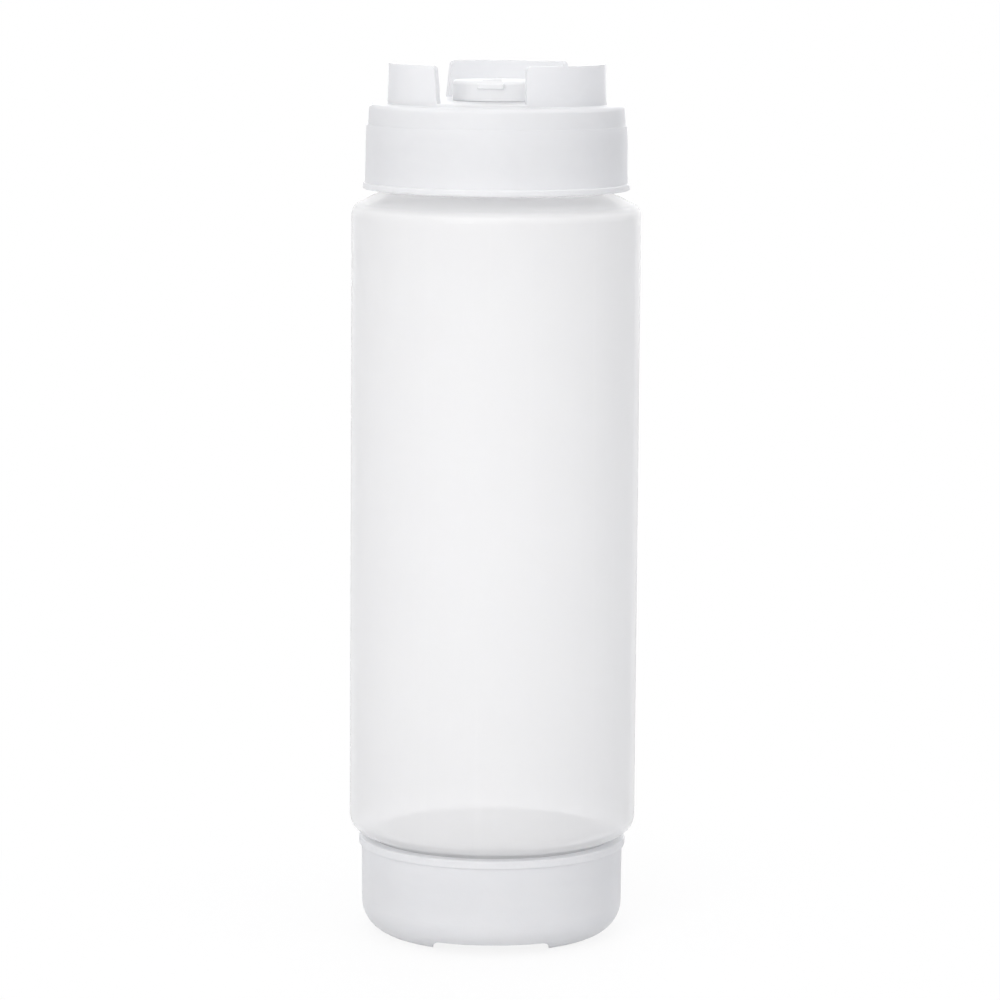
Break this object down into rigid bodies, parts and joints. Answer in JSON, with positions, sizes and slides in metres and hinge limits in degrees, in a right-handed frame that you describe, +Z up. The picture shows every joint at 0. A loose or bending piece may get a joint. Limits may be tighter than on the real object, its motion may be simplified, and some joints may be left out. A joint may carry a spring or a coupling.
{
  "type": "inverted squeeze bottle",
  "caption": "Straight translucent squeeze bottle with a screw cap at each end, a stand ring cut into walls and a hinged flip lid over a slit valve.",
  "frame": {"origin": "bottom centre: on the bottle's axis, on the plane the foot rim of the refill cap rests on", "axes": "+Z up along the bottle's axis to the stand ring; -Y is the front of both caps, with the front gap, the thumb tab and a foot notch; the lid's hinge is on the +Y side; +X completes a right-handed frame"},
  "size_m": [0.0636, 0.0634, 0.1933],
  "materials": {
    "bottle": "natural translucent, soft satin",
    "cap": "white moulded, satin",
    "seal": "pale soft gasket",
    "valve": "clear milky silicone"
  },
  "bodies": {
    "bottle": {"bottle_body": "bottle"},
    "upper_seal": {"dispensing_cap_seal": "seal"},
    "upper_cap": {"dispensing_cap": "cap", "silicone_valve": "valve", "valve_retainer": "cap"},
    "lid": {"flip_lid": "cap"},
    "lower_seal": {"refill_cap_seal": "seal"},
    "lower_cap": {"refill_cap": "cap"}
  },
  "joints": [
    {"name": "dispensing_cap_lift", "type": "slide", "parent": "bottle", "child": "upper_seal", "axis": [0, 0, 1], "range_m": [0, 0.00526]},
    {"name": "dispensing_cap_turn", "type": "hinge", "parent": "upper_seal", "child": "upper_cap", "pos_m": [0, 0, 0.1831], "axis": [0, 0, 1], "range_deg": [0, 450]},
    {"name": "flip_lid_hinge", "type": "hinge", "parent": "upper_cap", "child": "lid", "pos_m": [0, 0.01205, 0.18705], "axis": [-1, 0, 0], "range_deg": [0, 125]},
    {"name": "refill_cap_lift", "type": "slide", "parent": "bottle", "child": "lower_seal", "axis": [0, 0, -1], "range_m": [0, 0.00526]},
    {"name": "refill_cap_turn", "type": "hinge", "parent": "lower_seal", "child": "lower_cap", "pos_m": [0, 0, 0.0054], "axis": [0, 0, -1], "range_deg": [0, 450]}
  ],
  "couplings": [
    {"joint": "dispensing_cap_lift", "follows": "dispensing_cap_turn", "m_per_rad": 0.00066845},
    {"joint": "refill_cap_lift", "follows": "refill_cap_turn", "m_per_rad": 0.00066845}
  ]
}
